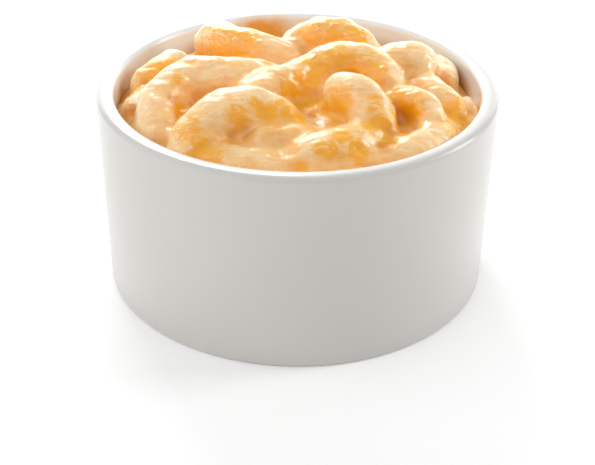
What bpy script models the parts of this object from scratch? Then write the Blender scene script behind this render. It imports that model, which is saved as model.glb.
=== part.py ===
"""Mac and cheese in a straight-sided porcelain ramekin, in metres, +Z up, standing on Z = 0.

Two solids: the turned bowl, and the heap of cheese-coated elbow macaroni that fills it. The heap's top is
a sheet laid over the sauce and over every elbow, so its outline is as uneven as the food is.
"""

from collections import namedtuple
from math import cos, hypot, pi, radians, sin, sqrt

import bmesh
import bpy
import numpy as np

MM = 0.001

# ---- Bowl, in millimetres ----
RIM_RADIUS = 45.0
FOOT_RADIUS = 44.3
BOWL_HEIGHT = 46.4
WALL = 4.0
FLOOR_THICKNESS = 5.0
BORE_RADIUS = RIM_RADIUS - WALL
BORE_FILLET = 5.0
RIM_ROUNDING = 1.3
FOOT_ROUNDING = 1.0
FOOT_RING_INSIDE = 38.5
FOOT_RING_DEPTH = 1.2
BOWL_SEGMENTS = 96
ROUNDING_STEPS = 3

# ---- Food, in millimetres. A rise is a height above the rim's plane ----
CLEARANCE = 0.3
SAUCE_RISE = -7.2
SAUCE_MOUND = 6.4
SAUCE_SLOPE = 0.045
ELBOW_SAMPLES = 14
ELBOW_SHOULDER = 0.88
SURFACE_RINGS = 27
SURFACE_BLEND = 1.6
HEAP_RADIUS = BORE_RADIUS - CLEARANCE

# Each elbow is the same bent tube. It is laid by its crown, the highest place on the circle that it
# follows: x, y and rise of the tube's middle there, the heading of the tube, and how far the bend leans
# over from hanging straight down. It runs from one angle to the other round that circle, of radius bend.
Elbow = namedtuple("Elbow", "name tube x y rise heading lean bend start end")

ELBOWS = (
    Elbow("behind_left", 4.4, -10.0, 27.5, -5.0, -15, 70, 14.0, -35, 35),
    Elbow("behind_middle", 4.4, 8.0, 28.0, -4.0, 10, -70, 12.0, -40, 40),
    Elbow("behind_right", 4.2, 24.0, 21.5, -6.5, -55, 70, 12.0, -35, 40),
    Elbow("behind_far_left", 4.0, -27.0, 20.5, -7.0, 50, -70, 12.0, -35, 35),
    Elbow("under_left", 4.4, -27.0, 5.0, -5.0, 95, 65, 12.0, -35, 35),
    Elbow("under_middle", 4.4, -11.5, 8.0, -4.5, 5, 65, 12.0, -45, 45),
    Elbow("under_right", 4.4, 8.0, 10.0, -2.5, 0, -70, 10.0, -50, 50),
    Elbow("back_left", 5.2, -15.0, 17.5, 1.0, -30, 55, 19.0, -20, 40),
    Elbow("back_middle", 5.0, 8.0, 18.0, 3.5, -15, -5, 9.5, -55, 60),
    Elbow("middle_arch", 5.0, 11.0, 1.0, 4.5, 0, -55, 8.5, -85, 75),
    Elbow("bridge", 4.4, -0.5, -4.5, 3.0, 44, 25, 46.0, -16, 7),
    Elbow("knob", 5.3, 25.0, 7.5, 1.5, -175, 35, 8.0, -20, 40),
    Elbow("right_back", 3.8, 34.0, 9.5, -4.0, 85, 60, 27.0, 0, 30),
    Elbow("right_end", 4.6, 29.5, -1.5, -2.2, -55, 0, 14.0, -15, 70),
    Elbow("right_drop", 2.0, 38.4, -4.0, -4.4, -80, 0, 12.0, -20, 25),
    Elbow("right_curl", 3.4, 25.2, -11.9, 1.0, -35, -50, 7.0, -70, 95),
    Elbow("right_foot", 4.2, 27.0, -24.0, -3.5, 45, 55, 14.0, -30, 40),
    Elbow("right_arch", 4.8, 11.8, -14.5, 3.8, -35, -30, 7.5, -22, 105),
    Elbow("front_ridge", 4.8, 10.0, -28.0, -1.8, -145, -50, 15.0, -30, 50),
    Elbow("front_right_pool", 4.0, 12.5, -30.5, -4.5, 20, 70, 23.5, -25, 25),
    Elbow("front_left_pool", 4.0, -10.5, -32.5, -4.0, -10, 65, 25.5, -25, 25),
    Elbow("front_left_stub", 3.8, -4.0, -26.5, -1.2, 5, 65, 6.5, -50, 50),
    Elbow("front_left_arch", 5.1, -12.5, -21.5, 3.3, 15, -30, 11.5, -75, 65),
    Elbow("left_down", 4.8, -21.5, -3.5, 2.5, -160, 60, 13.0, 10, 95),
    Elbow("left_middle", 5.0, -18.5, -4.0, 2.5, 175, -55, 19.5, -40, 15),
    Elbow("left_hole", 3.4, -36.0, -11.0, -4.5, 92, -45, 42.0, 6, 24),
    Elbow("far_left", 3.8, -29.5, 12.5, -2.0, -130, -15, 16.0, -5, 35),
)


def clear_scene():
    for obj in list(bpy.data.objects):
        bpy.data.objects.remove(obj, do_unlink=True)


def material(name, colour, roughness):
    made = bpy.data.materials.new(name)
    made.use_nodes = True
    shader = made.node_tree.nodes["Principled BSDF"]
    shader.inputs["Base Color"].default_value = (*colour, 1.0)
    shader.inputs["Roughness"].default_value = roughness
    shader.inputs["Metallic"].default_value = 0.0
    return made


def add_object(name, mesh, surface):
    obj = bpy.data.objects.new(name, mesh)
    mesh.materials.append(surface)
    bpy.context.scene.collection.objects.link(obj)
    return obj


# ---- Bowl ----


def rounding(middle_x, middle_z, radius, first, last, steps=ROUNDING_STEPS):
    """Points of an arc in the profile's plane, from the angle first to the angle last, in degrees."""
    angles = [radians(first + (last - first) * i / steps) for i in range(steps + 1)]
    return [(middle_x + radius * cos(a), middle_z + radius * sin(a)) for a in angles]


def bowl_profile():
    """Down the outside, under the foot ring and up the inside, ending on the axis at both ends."""
    top = BOWL_HEIGHT - RIM_ROUNDING
    inside = [(0.0, FLOOR_THICKNESS)]
    inside += rounding(BORE_RADIUS - BORE_FILLET, FLOOR_THICKNESS + BORE_FILLET, BORE_FILLET, -90, 0)
    inside += rounding(BORE_RADIUS + RIM_ROUNDING, top, RIM_ROUNDING, 180, 90)
    outside = rounding(RIM_RADIUS - RIM_ROUNDING, top, RIM_ROUNDING, 90, 0)
    outside += rounding(FOOT_RADIUS - FOOT_ROUNDING, FOOT_ROUNDING, FOOT_ROUNDING, 0, -90)
    outside += [(FOOT_RING_INSIDE, 0.0), (FOOT_RING_INSIDE - FOOT_RING_DEPTH, FOOT_RING_DEPTH)]
    outside += [(0.0, FOOT_RING_DEPTH)]
    return inside + outside


def make_bowl():
    mesh = bpy.data.meshes.new("bowl")
    shape = bmesh.new()
    corners = [shape.verts.new((x * MM, 0.0, z * MM)) for x, z in bowl_profile()]
    edges = [shape.edges.new(pair) for pair in zip(corners, corners[1:])]
    bmesh.ops.spin(
        shape, geom=corners + edges, cent=(0, 0, 0), axis=(0, 0, 1), angle=2 * pi, steps=BOWL_SEGMENTS
    )
    bmesh.ops.remove_doubles(shape, verts=shape.verts, dist=0.01 * MM)
    bmesh.ops.recalc_face_normals(shape, faces=shape.faces)
    shape.to_mesh(mesh)
    shape.free()
    mesh.shade_smooth()
    mesh.set_sharp_from_angle(angle=radians(40))
    add_object("bowl", mesh, material("white glazed porcelain", (0.80, 0.79, 0.76), 0.12))


# ---- Heap of macaroni and sauce ----


def elbow_line(elbow):
    """The places along an elbow's middle, as rows of x, y and rise."""
    heading, lean = radians(elbow.heading), radians(elbow.lean)
    along = np.array((cos(heading), sin(heading), 0.0))
    aside = np.array((-sin(heading), cos(heading), 0.0))
    inward = cos(lean) * np.array((0.0, 0.0, -1.0)) + sin(lean) * aside
    angles = np.radians(np.linspace(elbow.start, elbow.end, ELBOW_SAMPLES))[:, None]
    crown = np.array((elbow.x, elbow.y, elbow.rise))
    return crown + elbow.bend * (np.sin(angles) * along + (1 - np.cos(angles)) * inward)


def sauce_rise(x, y):
    """The sauce between the elbows is mounded, and lies a little higher at the front than at the back."""
    mound = SAUCE_MOUND * (1 - (x * x + y * y) / HEAP_RADIUS**2)
    return SAUCE_RISE + mound - SAUCE_SLOPE * y


def elbow_rise(elbow, line, x, y):
    """How high the elbow stands over a place: its round back, and below its shoulder a steep straight side."""
    beside = np.hypot(line[:, 0] - x, line[:, 1] - y) / elbow.tube
    back = np.minimum(beside, ELBOW_SHOULDER)
    height = np.sqrt(1 - back**2)
    steepness = ELBOW_SHOULDER / sqrt(1 - ELBOW_SHOULDER**2)
    return float((line[:, 2] + elbow.tube * (height - steepness * (beside - back))).max())


def blended(rises):
    """The highest of the rises, with a fillet where two of them are nearly level."""
    highest = max(rises)
    spare = sum(max(0.0, SURFACE_BLEND - (highest - rise)) ** 2 for rise in rises)
    return highest + (sqrt(spare) - SURFACE_BLEND) * 0.5


def surface_rise(x, y, lines):
    over = [elbow_rise(elbow, line, x, y) for elbow, line in zip(ELBOWS, lines)]
    return blended([sauce_rise(x, y), *over])


def surface_rings(shape, lines):
    """The top, as rings of 6, 12, 18 ... points, so that all of its triangles are much the same size."""
    rings = [[shape.verts.new((0.0, 0.0, (BOWL_HEIGHT + surface_rise(0, 0, lines)) * MM))]]
    for number in range(1, SURFACE_RINGS + 1):
        radius = HEAP_RADIUS * number / SURFACE_RINGS
        ring = []
        for step in range(6 * number):
            turn = 2 * pi * step / (6 * number)
            x, y = radius * cos(turn), radius * sin(turn)
            z = BOWL_HEIGHT + surface_rise(x, y, lines)
            ring.append(shape.verts.new((x * MM, y * MM, z * MM)))
        rings.append(ring)
    return rings


def close_sector(shape, inner, outer, number, sector):
    """The triangles between ring number and the ring inside it, in one sixth of the disc."""
    for step in range(number):
        left = outer[sector * number + step]
        right = outer[(sector * number + step + 1) % len(outer)]
        first = sector * (number - 1) + step
        tip = inner[first % len(inner)]
        shape.faces.new((tip, left, right))
        if step < number - 1:
            shape.faces.new((tip, right, inner[(first + 1) % len(inner)]))


def side_profile():
    """Down the bore and round its fillet, the clearance away from the bowl."""
    middle = BORE_RADIUS - BORE_FILLET
    return rounding(middle, FLOOR_THICKNESS + BORE_FILLET, BORE_FILLET - CLEARANCE, 0, -90)


def make_heap():
    lines = [elbow_line(elbow) for elbow in ELBOWS]
    mesh = bpy.data.meshes.new("macaroni_and_sauce")
    shape = bmesh.new()
    rings = surface_rings(shape, lines)
    for number in range(1, SURFACE_RINGS + 1):
        for sector in range(6):
            close_sector(shape, rings[number - 1], rings[number], number, sector)
    above = rings[-1]
    for radius, z in side_profile():
        below = []
        for vert in above:
            scale = radius * MM / hypot(vert.co.x, vert.co.y)
            below.append(shape.verts.new((vert.co.x * scale, vert.co.y * scale, z * MM)))
        for i in range(len(above)):
            j = (i + 1) % len(above)
            shape.faces.new((above[i], below[i], below[j], above[j]))
        above = below
    shape.faces.new(list(reversed(above)))
    bmesh.ops.recalc_face_normals(shape, faces=shape.faces)
    shape.to_mesh(mesh)
    shape.free()
    mesh.shade_smooth()
    mesh.set_sharp_from_angle(angle=radians(70))
    add_object("macaroni_and_sauce", mesh, material("melted cheese sauce", (0.84, 0.50, 0.20), 0.30))


clear_scene()
make_bowl()
make_heap()
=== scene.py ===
# %% [markdown]
# # Mac and cheese in a ramekin
# A straight-sided porcelain ramekin, heaped with elbow macaroni in a thick cheese sauce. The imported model
# gives the sizes and holds everything in one frame. This lesson gives the dish its looks: a bowl with a
# rounded, glazed rim, real elbows under a skin of sauce, patches of melted cheddar, and soft studio light.

# %% Load the frame
from math import cos, radians, sin

import bpy
import numpy as np
from mathutils import Euler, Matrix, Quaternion, Vector


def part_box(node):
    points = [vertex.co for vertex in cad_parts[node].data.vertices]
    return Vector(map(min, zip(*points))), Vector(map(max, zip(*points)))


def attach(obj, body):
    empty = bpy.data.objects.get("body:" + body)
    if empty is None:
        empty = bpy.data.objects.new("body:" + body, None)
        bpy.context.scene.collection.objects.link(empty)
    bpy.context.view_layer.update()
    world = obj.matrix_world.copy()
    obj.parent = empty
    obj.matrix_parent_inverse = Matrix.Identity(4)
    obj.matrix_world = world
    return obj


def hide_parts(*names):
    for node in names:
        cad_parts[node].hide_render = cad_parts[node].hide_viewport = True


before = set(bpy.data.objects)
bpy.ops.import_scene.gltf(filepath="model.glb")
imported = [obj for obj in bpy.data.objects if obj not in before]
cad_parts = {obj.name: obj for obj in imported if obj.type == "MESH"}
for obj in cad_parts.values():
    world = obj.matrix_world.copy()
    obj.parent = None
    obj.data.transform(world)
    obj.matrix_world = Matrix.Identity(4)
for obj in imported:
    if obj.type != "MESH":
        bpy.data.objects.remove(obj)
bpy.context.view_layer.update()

MM = 0.001
bowl_low, bowl_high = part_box("bowl")
RIM_RADIUS = bowl_high[0]
RIM_HEIGHT = bowl_high[2]
print("rim", RIM_RADIUS / MM, "mm from the axis,", RIM_HEIGHT / MM, "mm up")

# %% [markdown]
# ## Working by hand, in code
# A few small helpers stand for what the hands do in Blender: pick one object, enter and leave edit mode,
# pick faces by a rule, and apply a modifier.

# %% Helpers for modelling
def pick(*objects):
    """Deselect all, then select these objects and make the first one active."""
    bpy.ops.object.select_all(action="DESELECT")
    for obj in objects:
        obj.select_set(True)
    bpy.context.view_layer.objects.active = objects[0]


def edit(obj):
    """Edit mode on one object, with nothing in it selected."""
    pick(obj)
    bpy.ops.object.mode_set(mode="EDIT")
    bpy.ops.mesh.select_all(action="DESELECT")


def leave_edit():
    bpy.ops.object.mode_set(mode="OBJECT")


def select_faces(obj, rule):
    """In edit mode, select only the faces for which rule(face) is true."""
    bpy.ops.mesh.select_mode(type="FACE")
    bpy.ops.mesh.select_all(action="DESELECT")
    bpy.ops.object.mode_set(mode="OBJECT")
    for face in obj.data.polygons:
        face.select = rule(face)
    bpy.ops.object.mode_set(mode="EDIT")


def select_edges(obj, rule):
    """In edit mode, select only the edges for which rule(one end, other end) is true."""
    bpy.ops.mesh.select_mode(type="EDGE")
    bpy.ops.mesh.select_all(action="DESELECT")
    bpy.ops.object.mode_set(mode="OBJECT")
    places = [vertex.co for vertex in obj.data.vertices]
    for edge in obj.data.edges:
        edge.select = rule(places[edge.vertices[0]], places[edge.vertices[1]])
    bpy.ops.object.mode_set(mode="EDIT")


def modify(obj, kind, **settings):
    """Add one modifier with its settings and apply it."""
    modifier = obj.modifiers.new(kind, kind)
    for name, value in settings.items():
        setattr(modifier, name, value)
    pick(obj)
    bpy.ops.object.modifier_apply(modifier=modifier.name)


def settle(obj, name):
    """Name the piece and move its place into its mesh, so that the object itself sits at the origin."""
    pick(obj)
    bpy.ops.object.transform_apply(location=True, rotation=True, scale=True)
    obj.name = obj.data.name = name
    return obj


def told(obj):
    sides = [round(side / MM, 1) for side in obj.dimensions]
    print(obj.name, len(obj.data.polygons), "faces", sides, "mm")


# %% [markdown]
# ## Camera
# The dish is looked down on from about 30 degrees, quite close, with a slight tilt of the camera.

# %% Camera
CAMERA_AIM = Vector((0.34, 0.0, 6.93)) * MM
CAMERA_DISTANCE = 300 * MM
CAMERA_PITCH = 31.33
CAMERA_ROLL = 0.66
CAMERA_LENS = 75.25
CAMERA_SENSOR = 36
CAMERA_NEAREST = 0.01

camera_data = bpy.data.cameras.new("camera")
camera_data.lens = CAMERA_LENS
camera_data.sensor_width = CAMERA_SENSOR
camera_data.clip_start = CAMERA_NEAREST
camera = bpy.data.objects.new("camera", camera_data)
bpy.context.scene.collection.objects.link(camera)
level = Euler((radians(90 - CAMERA_PITCH), 0, 0)).to_quaternion()
turned = level @ Quaternion((0, 0, 1), radians(CAMERA_ROLL))
camera.rotation_mode = "QUATERNION"
camera.rotation_quaternion = turned
camera.location = CAMERA_AIM + turned @ Vector((0, 0, CAMERA_DISTANCE))
bpy.context.scene.camera = camera
print("camera at", [round(v / MM) for v in camera.location], "mm")

# %% [markdown]
# ## The bowl
# A ramekin is slip-cast or pressed porcelain: one wall of even thickness, a rim that the glaze has rounded,
# and a low foot ring. A cylinder is the nearest primitive. Its top is inset and pushed down for the bore,
# its base is drawn in a little and recessed, and bevels then round every edge as glaze does.

# %% Bowl
WALL = 4.0 * MM
FLOOR = 5.0 * MM
BORE_RADIUS = RIM_RADIUS - WALL
FOOT_RADIUS = 44.3 * MM
FOOT_RING_WIDTH = 5.8 * MM
FOOT_RECESS = 1.2 * MM
TINY = 0.05 * MM
BOWL_SIDES = 192
LEVEL = 0.9  # a face whose normal rises more than this counts as lying flat
SMOOTH_ANGLE = 40


def reach(place):
    return (place.x**2 + place.y**2) ** 0.5


bpy.ops.object.select_all(action="DESELECT")
bpy.ops.mesh.primitive_cylinder_add(
    vertices=BOWL_SIDES, radius=RIM_RADIUS, depth=RIM_HEIGHT, location=(0, 0, RIM_HEIGHT / 2)
)
bowl = settle(bpy.context.object, "ramekin")
edit(bowl)
select_faces(bowl, lambda face: face.normal.z > LEVEL)
bpy.ops.mesh.inset(thickness=WALL)
bpy.ops.mesh.extrude_region_move(TRANSFORM_OT_translate={"value": (0, 0, FLOOR - RIM_HEIGHT)})
select_faces(bowl, lambda face: face.normal.z < -LEVEL)
foot_scale = FOOT_RADIUS / RIM_RADIUS
bpy.ops.transform.resize(value=(foot_scale, foot_scale, 1), center_override=(0, 0, 0))
bpy.ops.mesh.inset(thickness=FOOT_RING_WIDTH)
bpy.ops.mesh.inset(thickness=FOOT_RECESS * 0.6, depth=-FOOT_RECESS)
leave_edit()
told(bowl)

# %% [markdown]
# The glaze gathers on the rim, which is almost a full round: a bevel of a third of the wall on each side.
# The corner inside is a wide curve that a spoon can follow, and the foot has a small one.

# %% Rounded edges
RIM_ROUNDING = 1.35 * MM
BORE_FILLET = 4.7 * MM
FOOT_ROUNDING = 0.9 * MM


def ring_at(height, radius):
    """A rule for the edges that run round the bowl at this height and radius."""

    def rule(a, b):
        return all(
            abs(place.z - height) < TINY and abs(reach(place) - radius) < 4 * TINY
            for place in (a, b)
        )

    return rule


edit(bowl)
for height, radius, rounding, steps in (
    (RIM_HEIGHT, RIM_RADIUS, RIM_ROUNDING, 6),
    (RIM_HEIGHT, BORE_RADIUS, RIM_ROUNDING, 6),
    (FLOOR, BORE_RADIUS, BORE_FILLET, 6),
    (0.0, FOOT_RADIUS, FOOT_ROUNDING, 4),
    (0.0, FOOT_RADIUS - FOOT_RING_WIDTH, FOOT_ROUNDING * 0.3, 2),
):
    select_edges(bowl, ring_at(height, radius))
    bpy.ops.mesh.bevel(offset=rounding, segments=steps, profile=0.5)
leave_edit()
pick(bowl)
bpy.ops.object.shade_smooth_by_angle(angle=radians(SMOOTH_ANGLE))
told(bowl)

# %% [markdown]
# ## The sauce bed
# Below the elbows, sauce and macaroni fill the bowl. Nothing of that shows, so a plain core is enough
# there. On top of it lies a bed of sauce: mounded, higher at the front, and drawn up a little where it wets
# the wall.

# %% Core below, bed of sauce above
SAUCE_RISE = -6.8 * MM
SAUCE_MOUND = 8.0 * MM
SAUCE_TILT = 3.0
SAUCE_LIP = 0.9 * MM
LIP_WIDTH = 1.2 * MM
BED_BASE = RIM_HEIGHT - 12 * MM
BED_SINKS_IN = 0.15 * MM  # into the wall, so that no gap shows between them
CORE_GAP = 0.3 * MM
CORE_SIDES = 96

bpy.ops.object.select_all(action="DESELECT")
core_bottom = FLOOR + CORE_GAP
core_radius = BORE_RADIUS - CORE_GAP
bpy.ops.mesh.primitive_cylinder_add(
    vertices=CORE_SIDES,
    radius=core_radius,
    depth=BED_BASE - core_bottom,
    location=(0, 0, (BED_BASE + core_bottom) / 2),
)
core = settle(bpy.context.object, "macaroni_below")
edit(core)
select_edges(core, ring_at(core_bottom, core_radius))
bpy.ops.mesh.bevel(offset=BORE_FILLET, segments=6, profile=0.5)
leave_edit()
pick(core)
bpy.ops.object.shade_smooth_by_angle(angle=radians(SMOOTH_ANGLE))
told(core)

bpy.ops.object.select_all(action="DESELECT")
bed_top = RIM_HEIGHT + SAUCE_RISE + SAUCE_LIP
bpy.ops.mesh.primitive_cylinder_add(
    vertices=CORE_SIDES,
    radius=BORE_RADIUS + BED_SINKS_IN,
    depth=bed_top - BED_BASE,
    location=(0, 0, (bed_top + BED_BASE) / 2),
)
bed = settle(bpy.context.object, "sauce_bed")
edit(bed)
select_faces(bed, lambda face: face.normal.z > LEVEL)
bpy.ops.mesh.inset(thickness=LIP_WIDTH, depth=-SAUCE_LIP)
radius = BORE_RADIUS - LIP_WIDTH
for step in range(5):
    inner = radius * (0.84 - 0.1 * step)  # each ring is narrower than the last
    climb = SAUCE_MOUND * (radius**2 - inner**2) / BORE_RADIUS**2
    bpy.ops.mesh.inset(thickness=radius - inner, depth=climb)
    radius = inner
select_faces(bed, lambda face: face.normal.z > 0.3)
bpy.ops.transform.rotate(
    value=radians(SAUCE_TILT), orient_axis="X", center_override=(0, 0, RIM_HEIGHT + SAUCE_RISE)
)
leave_edit()
told(bed)

# %% [markdown]
# ## The elbows
# Elbow macaroni is a short tube with a steady bend. Each one is laid by its crown, the highest place of the
# circle that it follows, by its heading, and by how far it leans over. Spin is the tool for that: a circle
# is put where the elbow starts, square to it, and turned about the middle of the bend. Three small insets
# at each end give it a soft, swollen end, and a fourth one pushed inwards opens a tube's mouth. Lengths
# below are in millimetres, and a rise is counted from the rim.

# %% Elbows
ELBOWS = (
    # name, tube, x, y, rise, heading, lean, bend, start, end
    ("behind_left", 4.4, -10.0, 27.5, -5.0, -15, 70, 14.0, -35, 35),
    ("behind_middle", 4.4, 8.0, 28.0, -4.0, 10, -70, 12.0, -40, 40),
    ("behind_right", 4.2, 24.0, 21.5, -6.5, -55, 70, 12.0, -35, 40),
    ("behind_far_left", 4.0, -27.0, 20.5, -7.0, 50, -70, 12.0, -35, 35),
    ("under_left", 4.4, -27.0, 5.0, -5.0, 95, 65, 12.0, -35, 35),
    ("under_middle", 4.4, -11.5, 8.0, -4.5, 5, 65, 12.0, -45, 45),
    ("under_right", 4.4, 8.0, 10.0, -2.5, 0, -70, 10.0, -50, 50),
    ("back_left", 5.2, -15.0, 17.5, 1.0, -30, 55, 19.0, -20, 40),
    ("back_middle", 5.0, 8.0, 18.0, 3.5, -15, -5, 9.5, -55, 60),
    ("middle_arch", 5.0, 11.0, 1.0, 4.5, 0, -55, 8.5, -85, 75),
    ("bridge", 4.4, -0.5, -4.5, 3.0, 44, 25, 46.0, -16, 7),
    ("knob", 5.3, 25.0, 7.5, 1.5, -175, 35, 8.0, -20, 40),
    ("right_back", 3.8, 34.0, 9.5, -4.0, 85, 60, 27.0, 0, 30),
    ("right_end", 4.6, 29.5, -1.5, -2.2, -55, 0, 14.0, -15, 70),
    ("right_drop", 2.0, 38.4, -4.0, -4.4, -80, 0, 12.0, -20, 25),
    ("right_curl", 3.4, 25.2, -11.9, 1.0, -35, -50, 7.0, -70, 95),
    ("right_foot", 4.2, 27.0, -24.0, -3.5, 45, 55, 14.0, -30, 40),
    ("right_arch", 4.8, 11.8, -14.5, 3.8, -35, -30, 7.5, -22, 105),
    ("front_ridge", 4.8, 10.0, -28.0, -1.8, -145, -50, 15.0, -30, 50),
    ("front_right_pool", 4.0, 12.5, -30.5, -4.5, 20, 70, 23.5, -25, 25),
    ("front_left_pool", 4.0, -10.5, -32.5, -4.0, -10, 65, 25.5, -25, 25),
    ("front_left_stub", 3.8, -4.0, -26.5, -1.2, 5, 65, 6.5, -50, 50),
    ("front_left_arch", 5.1, -12.5, -21.5, 3.3, 15, -30, 11.5, -75, 65),
    ("left_down", 4.8, -21.5, -3.5, 2.5, -160, 60, 13.0, 10, 95),
    ("left_middle", 5.0, -18.5, -4.0, 2.5, 175, -55, 19.5, -40, 15),
    ("left_hole", 3.4, -36.0, -11.0, -4.5, 92, -45, 42.0, 6, 24),
    ("far_left", 3.8, -29.5, 12.5, -2.0, -130, -15, 16.0, -5, 35),
)
OPEN_ENDS = {"left_hole": "start", "far_left": "end"}
TUBE_SIDES = 24
SPIN_STEPS = 16
SWOLLEN_END = ((0.13, 0.35), (0.25, 0.27), (0.3, 0.13))  # narrower by, further by, in tube radii
MOUTH_WALL = 0.05
MOUTH_DEPTH = 1.1


class Bend:
    """The circle that an elbow's middle follows, in metres."""

    def __init__(self, x, y, rise, heading, lean, bend):
        heading, lean = radians(heading), radians(lean)
        self.along = Vector((cos(heading), sin(heading), 0))
        aside = Vector((-sin(heading), cos(heading), 0))
        self.inward = cos(lean) * Vector((0, 0, -1)) + sin(lean) * aside
        self.radius = bend * MM
        self.crown = Vector((x * MM, y * MM, RIM_HEIGHT + rise * MM))
        self.middle = self.crown + self.radius * self.inward
        self.axis = self.inward.cross(self.along)

    def place(self, degrees):
        turn = radians(degrees)
        return self.middle + self.radius * (sin(turn) * self.along - cos(turn) * self.inward)

    def direction(self, degrees):
        turn = radians(degrees)
        return cos(turn) * self.along + sin(turn) * self.inward


def lay_elbow(name, tube, x, y, rise, heading, lean, bend, start, end):
    """One elbow of macaroni, spun along its bend, with a swollen or an open end."""
    course = Bend(x, y, rise, heading, lean, bend)
    bpy.ops.object.select_all(action="DESELECT")
    bpy.ops.mesh.primitive_circle_add(
        vertices=TUBE_SIDES,
        radius=tube * MM,
        location=course.place(start),
        rotation=course.direction(start).to_track_quat("Z", "Y").to_euler(),
    )
    elbow = settle(bpy.context.object, name)
    edit(elbow)
    bpy.ops.mesh.select_all(action="SELECT")
    bpy.ops.mesh.spin(
        steps=SPIN_STEPS, angle=radians(end - start), center=course.middle, axis=course.axis
    )
    bpy.ops.mesh.select_all(action="SELECT")
    bpy.ops.mesh.fill_holes(sides=0)
    bpy.ops.mesh.normals_make_consistent(inside=False)
    select_faces(elbow, lambda face: len(face.vertices) > 4)
    for narrower, further in SWOLLEN_END:
        bpy.ops.mesh.inset(thickness=narrower * tube * MM, depth=further * tube * MM)
    if name in OPEN_ENDS:
        mouth = course.place(start if OPEN_ENDS[name] == "start" else end)
        select_faces(
            elbow,
            lambda face: len(face.vertices) > 4 and (face.center - mouth).length < tube * MM,
        )
        bpy.ops.mesh.inset(thickness=MOUTH_WALL * tube * MM, depth=-MOUTH_DEPTH * tube * MM)
    leave_edit()
    return elbow


elbows = [lay_elbow(*row) for row in ELBOWS]
widest = max(elbow.dimensions.x for elbow in elbows)
print(len(elbows), "elbows, the widest", round(widest / MM, 1), "mm")

# %% [markdown]
# ## One skin of sauce
# Sauce wets everything and rounds every gap. So the elbows and the bed are joined, remeshed into one closed
# surface, grown outwards so that narrow gaps close, remeshed again and shrunk back. That leaves a fillet
# wherever two elbows meet, as thick sauce does. Smoothing takes off the last marks of the grid.

# %% Skin
GRID = 0.45 * MM
FINE_GRID = 0.38 * MM
SAUCE_THICKNESS = 1.2 * MM
CUT_ABOVE_BASE = 2 * MM  # the grid rounds the bed's base, so a plane cuts it flat again

pick(bed, *elbows)
bpy.ops.object.join()
heap = settle(bed, "macaroni_in_sauce")
modify(heap, "REMESH", mode="VOXEL", voxel_size=GRID)
modify(heap, "DISPLACE", strength=SAUCE_THICKNESS, mid_level=0)
modify(heap, "REMESH", mode="VOXEL", voxel_size=GRID)
modify(heap, "DISPLACE", strength=-SAUCE_THICKNESS, mid_level=0)
modify(heap, "SMOOTH", factor=0.5, iterations=6)
modify(heap, "REMESH", mode="VOXEL", voxel_size=FINE_GRID)
modify(heap, "SMOOTH", factor=0.5, iterations=4)
edit(heap)
bpy.ops.mesh.select_all(action="SELECT")
bpy.ops.mesh.bisect(
    plane_co=(0, 0, BED_BASE + CUT_ABOVE_BASE), plane_no=(0, 0, 1), use_fill=True, clear_inner=True
)
leave_edit()
told(heap)

# %% [markdown]
# ## Folds and wrinkles
# Thick cheese sauce sags, folds and skins over as it cools. Three displacements, each with its own size,
# give it lumps, then folds, then the fine wrinkles that catch the light.

# %% Relief
RELIEF = (
    # name, (length, width, height) of one lump in mm, depth in mm
    ("lumps", (6.0, 6.0, 6.0), 1.1),
    ("folds", (4.2, 1.8, 2.4), 0.50),
    ("wrinkles", (2.0, 0.8, 1.1), 0.16),
)
for name, lump, depth in RELIEF:
    texture = bpy.data.textures.new(name, "CLOUDS")
    texture.noise_scale = 1.0
    texture.noise_depth = 1
    stretch = bpy.data.objects.new("stretch", None)
    bpy.context.scene.collection.objects.link(stretch)
    stretch.scale = [side * MM for side in lump]
    bpy.context.view_layer.update()
    modify(
        heap,
        "DISPLACE",
        texture=texture,
        texture_coords="OBJECT",
        texture_coords_object=stretch,
        strength=depth * MM,
        mid_level=0.5,
    )
    bpy.data.objects.remove(stretch)
modify(heap, "SMOOTH", factor=0.3, iterations=1)
pick(heap)
bpy.ops.object.shade_smooth()
told(heap)
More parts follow.
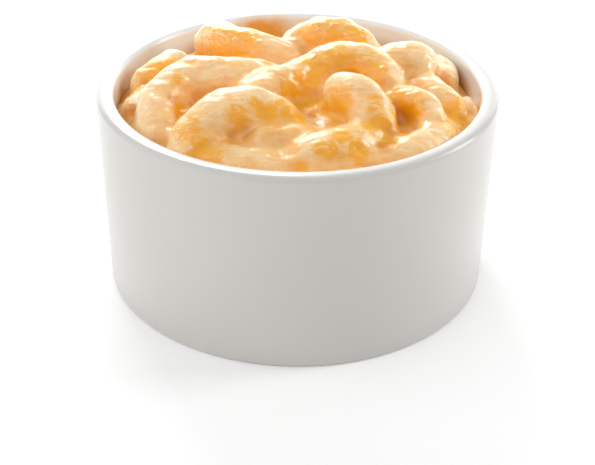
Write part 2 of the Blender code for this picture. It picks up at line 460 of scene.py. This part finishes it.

# %% [markdown]
# ## Where the cheddar melted, and the painted shade in the holes
# Grated cheddar melts into bright orange patches with ragged edges. In the holes and tube mouths, darker
# amber spots are painted shade.
# Each patch is a place on the heap with a width. Every point of the skin keeps how deep inside a patch it
# lies: one in the middle, nothing at the edge and less outside. The material reads that and frays the
# edges.

# %% Patches
CHEDDAR = {
    # where: (x, y, rise above the rim, radius) of each patch, in mm
    "back left": ((-15, 13, 4, 5.0), (-18, 16, 5, 2.5), (-11, 14, 5, 2.0)),
    "back middle": ((7, 15, 7, 3.5), (12, 14, 6, 3.0), (3, 15, 6, 2.5), (15, 13, 5, 1.5)),
    "middle arch": ((10, -3, 7, 3.5), (14, -5, 5, 4.0), (17, -7, 5, 2.5), (7, -2, 8, 2.0)),
    "bridge": ((2, -4, 7, 2.5), (5, -5, 6, 2.5), (2, -8, 4, 3.0), (-7, -2, 5, 1.5)),
    "valley": ((-1, -12, 3, 3.5), (2, -12, 0, 3.5), (6, -16, 0, 2.5), (0, -23, 2, 2.0)),
    "front left arch": (
        (-2, -23, 4, 2.5),
        (-6, -25, 4, 2.5),
        (-8, -25, 6, 2.0),
        (-12, -27, 5, 2.5),
    ),
    "its left end": ((-22, -30, 2, 2.5), (-20, -32, -1, 2.5), (-21, -28, 4, 1.5), (-25, -28, 2, 1.5)),
    "left": ((-25, -14, -1, 2.0), (-26, -10, 5, 1.5)),
    "far left": ((-34, 5, -1, 3.5), (-32, 7, 0, 2.5), (-36, 2, -3, 2.0), (-30, 9, 1, 1.5)),
    "right arch": ((17, -24, 2, 3.0), (18, -27, -1, 2.5), (16, -22, 5, 2.0)),
    "inside the right arch": ((9, -18, 5, 2.5), (8, -18, 1, 2.0)),
    "front ridge": ((9, -31, 2, 3.0), (6, -33, 1, 2.0), (12, -32, 0, 2.0)),
    "front wall": ((1, -36, -3, 1.5), (-17, -34, -2, 2.0)),
    "right curl": ((22, -14, 2, 4.0), (25, -16, 2, 2.5), (23, -13, 4, 2.0), (19, -22, 2, 2.0)),
    "right wall": ((34, -11, -2, 3.5), (36, -9, -1, 2.5), (35, -13, -3, 2.5), (32, -20, -1, 2.5)),
    "behind": ((-8, 24, 0, 4.0), (24, 14, 2, 4.0), (8, 29, -1, 4.0), (-28, 16, -3, 3.5)),
}
# painted shade: darker amber spots in the holes and tube mouths, as (x, y, rise, radius) in mm
HOLE_SHADE_SPOTS = {
    "far left": ((-35, 3, -2, 1.5), (-36, -8, -2, 2.0), (-26, 21, -3, 1.0)),
    "front left arch": ((-10, -28, 1, 1.5), (-27, -14, 2, 1.0)),
    "valley": ((5, -20, 0, 1.5), (3, -17, 0, 1.0)),
    "right arch": ((20, -24, 0, 1.5), (18, -29, -1, 1.5), (22, -15, -1, 2.0)),
    "right wall": ((37, -9, -2, 1.0), (36, -12, -2, 1.0)),
}


def places_of(obj):
    """The mesh's points as rows of x, y and rise, in mm."""
    places = np.empty(len(obj.data.vertices) * 3, np.float32)
    obj.data.vertices.foreach_get("co", places)
    return places.reshape(-1, 3) / MM - (0, 0, RIM_HEIGHT / MM)


def keep(obj, name, values):
    """Keep one number for each point of the mesh, as an attribute that a material can read."""
    layer = obj.data.attributes.new(name, "FLOAT", "POINT")
    layer.data.foreach_set("value", values.astype(np.float32))
    print(name, "is over zero on", round(100 * float((values > 0).mean())), "% of the points")


def depth_in(patches, places):
    """How deep each point lies in its nearest patch: one in the middle, nothing at the edge."""
    depth = np.full(len(places), -1.0)
    for group in patches.values():
        for x, y, rise, radius in group:
            away = np.linalg.norm(places - (x, y, rise), axis=1)
            depth = np.maximum(depth, 1 - away / radius)
    return depth


places = places_of(heap)
keep(heap, "cheddar", depth_in(CHEDDAR, places))
keep(heap, "hole_shade", depth_in(HOLE_SHADE_SPOTS, places))

# %% [markdown]
# In the sauce's colour, crests are painted pale, as painted light, and hollows golden and darker, as
# painted shade. To find those, the heap's height is read on a grid of squares and blurred. A point above
# the blurred height is on a crest, one below in a hollow.

# %% Crests and hollows
SQUARE = 1.0  # mm
BLUR_PASSES = 14
HOLLOW_DEPTH = 3.5  # mm below the blurred height, where a hollow counts as full

last_cell = int(2 * RIM_RADIUS / MM / SQUARE)
cells = ((places[:, :2] + RIM_RADIUS / MM) / SQUARE).astype(int)
cells = np.clip(cells, 0, last_cell)
side = cells.max() + 1
tops = np.full((side, side), SAUCE_RISE / MM)
np.maximum.at(tops, (cells[:, 0], cells[:, 1]), places[:, 2])
for blur in range(BLUR_PASSES):
    for axis in (0, 1):
        tops = (np.roll(tops, 1, axis) + 2 * tops + np.roll(tops, -1, axis)) / 4
below = tops[cells[:, 0], cells[:, 1]] - places[:, 2]
# painted light and shade: this depth below the blurred height makes crests pale and hollows golden
keep(heap, "hollow", np.clip(below / HOLLOW_DEPTH, -1, 1))

# %% [markdown]
# ## Materials
# Colours are written as sRGB hex, as a colour picker shows them, and one function turns them to linear. One
# more adds a node with its settings and its links.

# %% Helpers for materials
def hex_colour(code, alpha=1.0):
    """An sRGB hex colour as linear red, green, blue and alpha."""
    parts = [int(code[i : i + 2], 16) / 255 for i in (1, 3, 5)]
    return (*[p / 12.92 if p <= 0.04045 else ((p + 0.055) / 1.055) ** 2.4 for p in parts], alpha)


def add_node(tree, kind, settings=(), **links):
    """A node of this kind. settings are its properties, and links its sockets' values or sources.

    A socket goes by its name, with _ for a space, or by i and its number where names repeat."""
    node = tree.nodes.new(kind)
    for name, value in dict(settings).items():
        setattr(node, name, value)
    for name, value in links.items():
        numbered = name[0] == "i" and name[1:].isdigit()
        socket = node.inputs[int(name[1:]) if numbered else name.replace("_", " ")]
        if isinstance(value, bpy.types.NodeSocket):
            tree.links.new(value, socket)
        else:
            socket.default_value = value
    return node


def new_material(name):
    made = bpy.data.materials.new(name)
    made.use_nodes = True
    made.node_tree.nodes.clear()
    return made, made.node_tree


def finish_material(tree, shader):
    add_node(tree, "ShaderNodeOutputMaterial", Surface=shader.outputs[0])


# %% [markdown]
# ### White glazed porcelain
# A hard white body under clear glass: the coat gives the eye sharp lamp reflections on the rim, and a
# ripple keeps them from being perfect. One glaze is painted in two tones: lighter and cooler inside the
# bore, as painted light, and a darker, warmer grey-white outside, as painted shade.
# Where sauce was wiped along the inner wall as the bowl was filled, it left a thin golden film, denser in
# some places.

# %% Glazed porcelain
# painted light and shade: one glaze, lighter and cooler inside the bore, darker and warmer outside
INNER_GLAZE_PAINTED_LIGHTER = "#e6eaec"
OUTER_GLAZE_PAINTED_DARKER = "#c7c5c0"
SAUCE_FILM = "#e2a548"
FILM_DEPTH = 3 * MM

glaze, tree = new_material("white glazed porcelain")
place = add_node(tree, "ShaderNodeTexCoord").outputs["Object"]
ripple = add_node(tree, "ShaderNodeTexNoise", Vector=place, Scale=1 / (9 * MM), Detail=1.0)
bump = add_node(tree, "ShaderNodeBump", Height=ripple.outputs[0], Distance=0.05 * MM, Strength=0.5)
STAINS = (
    # bearing in degrees, rise, half the width and half the height in mm, strength
    (103, -4.5, 10.0, 6.0, 1.6),
    (124, -8.0, 9.0, 6.0, 1.5),
    (-8, -7.0, 9.0, 8.0, 1.6),
    (22, -8.5, 12.0, 7.0, 1.2),
    (62, -9.0, 14.0, 6.0, 1.2),
    (170, -8.0, 12.0, 7.0, 1.2),
)
mottle = add_node(tree, "ShaderNodeTexNoise", Vector=place, Scale=1 / (4 * MM), Detail=3.0)
film = 0.0
for bearing, rise, width, height, strength in STAINS:
    turn = radians(bearing)
    spot = add_node(
        tree,
        "ShaderNodeMapping",
        {"vector_type": "TEXTURE"},
        Vector=place,
        Location=(BORE_RADIUS * cos(turn), BORE_RADIUS * sin(turn), RIM_HEIGHT + rise * MM),
        Rotation=(0, 0, turn),
        Scale=(FILM_DEPTH, width * MM, height * MM),
    )
    soft = add_node(
        tree, "ShaderNodeTexGradient", {"gradient_type": "SPHERICAL"}, Vector=spot.outputs[0]
    ).outputs["Fac"]
    scaled = add_node(
        tree, "ShaderNodeMath", {"operation": "MULTIPLY"}, i0=soft, i1=strength
    ).outputs[0]
    film = add_node(tree, "ShaderNodeMath", {"operation": "MAXIMUM"}, i0=scaled, i1=film).outputs[0]
uneven = add_node(
    tree, "ShaderNodeMath", {"operation": "MULTIPLY_ADD"}, i0=mottle.outputs[0], i1=1.4, i2=0.3
)
film = add_node(
    tree, "ShaderNodeMath", {"operation": "MULTIPLY", "use_clamp": True}, i0=film, i1=uneven.outputs[0]
)
along_wall = add_node(tree, "ShaderNodeVectorMath", {"operation": "MULTIPLY"}, i0=place, i1=(1, 1, 0))
reach_out = add_node(tree, "ShaderNodeVectorMath", {"operation": "LENGTH"}, i0=along_wall.outputs[0])
outside = add_node(
    tree,
    "ShaderNodeMapRange",
    Value=reach_out.outputs["Value"],
    From_Min=BORE_RADIUS + 0.3 * MM,
    From_Max=BORE_RADIUS + 2.5 * MM,
)
# painted light and shade: the inner wall gets the lighter tone, the outer wall the darker one
porcelain = add_node(
    tree,
    "ShaderNodeMix",
    {"data_type": "RGBA"},
    i0=outside.outputs[0],
    i6=hex_colour(INNER_GLAZE_PAINTED_LIGHTER),
    i7=hex_colour(OUTER_GLAZE_PAINTED_DARKER),
)
glazed = add_node(
    tree,
    "ShaderNodeMix",
    {"data_type": "RGBA"},
    i0=film.outputs[0],
    i6=porcelain.outputs[2],
    i7=hex_colour(SAUCE_FILM),
)
shader = add_node(
    tree,
    "ShaderNodeBsdfPrincipled",
    Base_Color=glazed.outputs[2],
    Roughness=0.28,
    IOR=1.45,
    Coat_Weight=0.2,
    Coat_Roughness=0.06,
    Normal=bump.outputs[0],
)
finish_material(tree, shader)
bowl.data.materials.clear()
bowl.data.materials.append(glaze)
print("porcelain ready")

# %% [markdown]
# ### Cheese sauce
# Thick sauce is cloudy, so light goes in and comes out a little further on: subsurface scattering gives the
# eye its soft edges. Over that lies a wet, oily coat. Only the coat has the bump, so the fine wrinkles
# glint while the sauce under them stays smooth. In the colour, crests are painted pale as painted light,
# with streaks of painted glint, and hollows golden and darker as painted shade; the cheddar patches are
# orange.

# %% Cheese sauce: helpers
# pale sauce, also the painted light on the crests
PALE_SAUCE_AND_CREST_LIGHT = "#f5d199"
# golden sauce, also the painted shade in the hollows
GOLDEN_SAUCE_AND_HOLLOW_SHADE = "#f1ae42"
# pale streaks of sauce, partly a painted sheen
SHEEN_STREAK_COLOUR = "#f6d9ae"
CHEDDAR_DEEP = "#f2a70a"
CHEDDAR_BRIGHT = "#f6b51a"
# painted shade in the holes and tube mouths
HOLE_SHADE_COLOUR = "#d88f22"
# painted highlight: near-white streaks of glint on the crests
CREST_GLINT_COLOUR = "#fff2dc"
DRIFT = 9 * MM  # how far the streaks wander

sauce, tree = new_material("cheese sauce with melted cheddar")
place = add_node(tree, "ShaderNodeTexCoord").outputs["Object"]


def noise(size, detail=2.0, roughness=0.5, distortion=0.0, vector=None):
    """Noise whose lumps are about size millimetres across."""
    return add_node(
        tree,
        "ShaderNodeTexNoise",
        Vector=vector or place,
        Scale=1 / (size * MM),
        Detail=detail,
        Roughness=roughness,
        Distortion=distortion,
    ).outputs[0]


def sums(operation, first, second, third=0.0, clamp=False):
    settings = {"operation": operation, "use_clamp": clamp}
    return add_node(tree, "ShaderNodeMath", settings, i0=first, i1=second, i2=third).outputs[0]


drift = add_node(tree, "ShaderNodeTexNoise", Vector=place, Scale=1 / DRIFT, Detail=1.0)
drifted = add_node(
    tree,
    "ShaderNodeVectorMath",
    {"operation": "MULTIPLY_ADD"},
    i0=drift.outputs["Color"],
    i1=(DRIFT,) * 3,
    i2=place,
).outputs[0]


def stretched(length):
    """A place to read noise at, so that its lumps are drawn out sideways: a smaller length is longer."""
    scale = (length, 1.0, 0.8)
    return add_node(tree, "ShaderNodeMapping", Vector=drifted, Scale=scale).outputs[0]


streak_place = stretched(0.45)
# stretched place for the streaks of painted highlight on the crests
glint_streak_place = stretched(0.25)


def swing(value, by, middle, clamp=False):
    """A value that lies about one half, swung by this much about a middle."""
    return sums("MULTIPLY_ADD", sums("SUBTRACT", value, 0.5), by, middle, clamp=clamp)


def patchy(name, fray, edge):
    """How much of a painted patch shows here: its edge is frayed by noise and then sharpened."""
    depth = add_node(tree, "ShaderNodeAttribute", {"attribute_name": name}).outputs["Fac"]
    frayed = swing(noise(4.0, 5.0, 0.65, 1.5, streak_place), fray, depth)
    return sums("MULTIPLY_ADD", frayed, edge, 0.65, clamp=True)


def blend(share, first, second):
    settings = {"data_type": "RGBA"}
    return add_node(tree, "ShaderNodeMix", settings, i0=share, i6=first, i7=second).outputs[2]


# %% Cheese sauce: colour
hollow = add_node(tree, "ShaderNodeAttribute", {"attribute_name": "hollow"}).outputs["Fac"]
thickness = swing(noise(5.0, 3.0, 0.6, 0.5), 2.2, 0.4)
# random sauce thickness plus painted light on crests and painted shade in hollows
thickness_and_painted_light = sums("MULTIPLY_ADD", hollow, 0.7, thickness, clamp=True)
cream = blend(thickness_and_painted_light, hex_colour(PALE_SAUCE_AND_CREST_LIGHT), hex_colour(GOLDEN_SAUCE_AND_HOLLOW_SHADE))
# pale streaks across the sauce, partly a painted sheen
sheen_streak = swing(noise(1.1, 3.0, 0.6, 1.2, streak_place), 3.0, 0.25, clamp=True)
cream = blend(sums("MULTIPLY", sheen_streak, 0.5), cream, hex_colour(SHEEN_STREAK_COLOUR))
cheddar = blend(noise(1.6, 3.0), hex_colour(CHEDDAR_DEEP), hex_colour(CHEDDAR_BRIGHT))
colour = blend(patchy("cheddar", 3.4, 1.4), cream, cheddar)
# painted shade: darker amber in the holes and tube mouths
colour = blend(sums("MULTIPLY", patchy("hole_shade", 1.5, 1.4), 0.75), colour, hex_colour(HOLE_SHADE_COLOUR))
# painted highlight: near-white streaks of glint along the crests
crest_glint_mask = sums("MULTIPLY_ADD", hollow, -2.4, 0.0, clamp=True)
glint_streaks = sums("MULTIPLY_ADD", noise(1.1, 4.0, 0.7, 2.0, glint_streak_place), 9.0, -4.5, clamp=True)
painted_glint = sums("MULTIPLY", sums("MULTIPLY", glint_streaks, crest_glint_mask), 0.7)
colour = blend(painted_glint, colour, hex_colour(CREST_GLINT_COLOUR))
print("colours ready")

# %% Cheese sauce: relief and gloss
WRINKLE_HEIGHT = 0.20 * MM
SCATTER = 0.8 * MM

wrinkles = noise(0.9, 3.0, 0.6, 1.0, streak_place)
pits = noise(0.45, 2.0, 0.5)
height = sums("MULTIPLY_ADD", pits, 0.35, wrinkles)
calm = sums("MULTIPLY_ADD", noise(5.0, 2.0), 3.0, -0.9, clamp=True)
height = sums("MULTIPLY", height, sums("MULTIPLY_ADD", calm, 0.8, 0.2))
bump = add_node(tree, "ShaderNodeBump", Height=height, Distance=WRINKLE_HEIGHT, Strength=1.0)
gloss = sums("MULTIPLY_ADD", noise(1.5, 2.0), 0.3, 0.3)
shader = add_node(
    tree,
    "ShaderNodeBsdfPrincipled",
    Base_Color=colour,
    Roughness=gloss,
    IOR=1.42,
    Specular_IOR_Level=0.2,
    Subsurface_Weight=0.9,
    Subsurface_Scale=SCATTER,
    Subsurface_Radius=(1.0, 0.75, 0.35),
    Coat_Weight=1.0,
    Coat_Roughness=0.05,
    Coat_IOR=1.6,
    Coat_Normal=bump.outputs[0],
)
finish_material(tree, shader)
for piece in (heap, core):
    piece.data.materials.clear()
    piece.data.materials.append(sauce)
print("cheese sauce ready")

# %% [markdown]
# ## Floor, light and air
# The dish stands on plain white paper in soft studio light. A low, wide backdrop draws pale edges along the
# crests, a small lamp high behind adds glints, large lamps at the left and above fill the front, a narrow
# one at the right draws a line down the glaze, and a little light comes from everywhere.

# %% Floor
FLOOR_SIZE = 4
FLOOR_GLOW = 0.18  # the share of its own light that the camera sees in the paper

bpy.ops.object.select_all(action="DESELECT")
bpy.ops.mesh.primitive_plane_add(size=FLOOR_SIZE)
floor = settle(bpy.context.object, "floor")
paper, tree = new_material("white studio paper")
path = add_node(tree, "ShaderNodeLightPath")
lit = add_node(tree, "ShaderNodeBsdfDiffuse", Color=hex_colour("#ffffff"))
shine = add_node(tree, "ShaderNodeEmission", Color=(1, 1, 1, 1), Strength=1.0)
seen = path.outputs["Is Camera Ray"]
share = add_node(
    tree, "ShaderNodeMath", {"operation": "MULTIPLY"}, i0=seen, i1=FLOOR_GLOW
).outputs[0]
mixed = add_node(
    tree, "ShaderNodeMixShader", Fac=share, i1=lit.outputs[0], i2=shine.outputs[0]
)
finish_material(tree, mixed)
floor.data.materials.append(paper)
print("floor ready")

# %% Lamps and air
LAMP_AIM = Vector((0, 0, 0.04))
AIR = 0.44
LAMPS = (
    # name, place in m, width, height, watts
    ("backdrop", (0.00, 0.80, 0.25), 1.50, 0.50, 4.3),
    ("behind", (-0.15, 0.55, 0.50), 0.32, 0.18, 2.2),
    ("left", (-0.60, -0.20, 0.32), 1.00, 1.00, 2.7),
    ("right", (0.60, 0.10, 0.28), 0.20, 0.40, 1.9),
    ("above", (-0.10, -0.30, 0.60), 1.20, 1.20, 1.7),
)
for name, spot, width, height, watts in LAMPS:
    lamp = bpy.data.lights.new(name, "AREA")
    lamp.shape = "RECTANGLE"
    lamp.size, lamp.size_y, lamp.energy = width, height, watts
    holder = bpy.data.objects.new(name, lamp)
    bpy.context.scene.collection.objects.link(holder)
    holder.location = spot
    holder.rotation_euler = (LAMP_AIM - Vector(spot)).to_track_quat("-Z", "Y").to_euler()
world = bpy.data.worlds.new("studio air")
bpy.context.scene.world = world
world.use_nodes = True
air = world.node_tree.nodes["Background"]
air.inputs["Color"].default_value = (1, 1, 1, 1)
air.inputs["Strength"].default_value = AIR
bpy.context.scene.view_settings.view_transform = "Standard"
print(len(LAMPS), "lamps")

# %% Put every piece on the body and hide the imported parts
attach(bowl, "root")
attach(heap, "root")
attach(core, "root")
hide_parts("bowl")
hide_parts("macaroni_and_sauce")
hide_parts("macaroni_and_sauce")
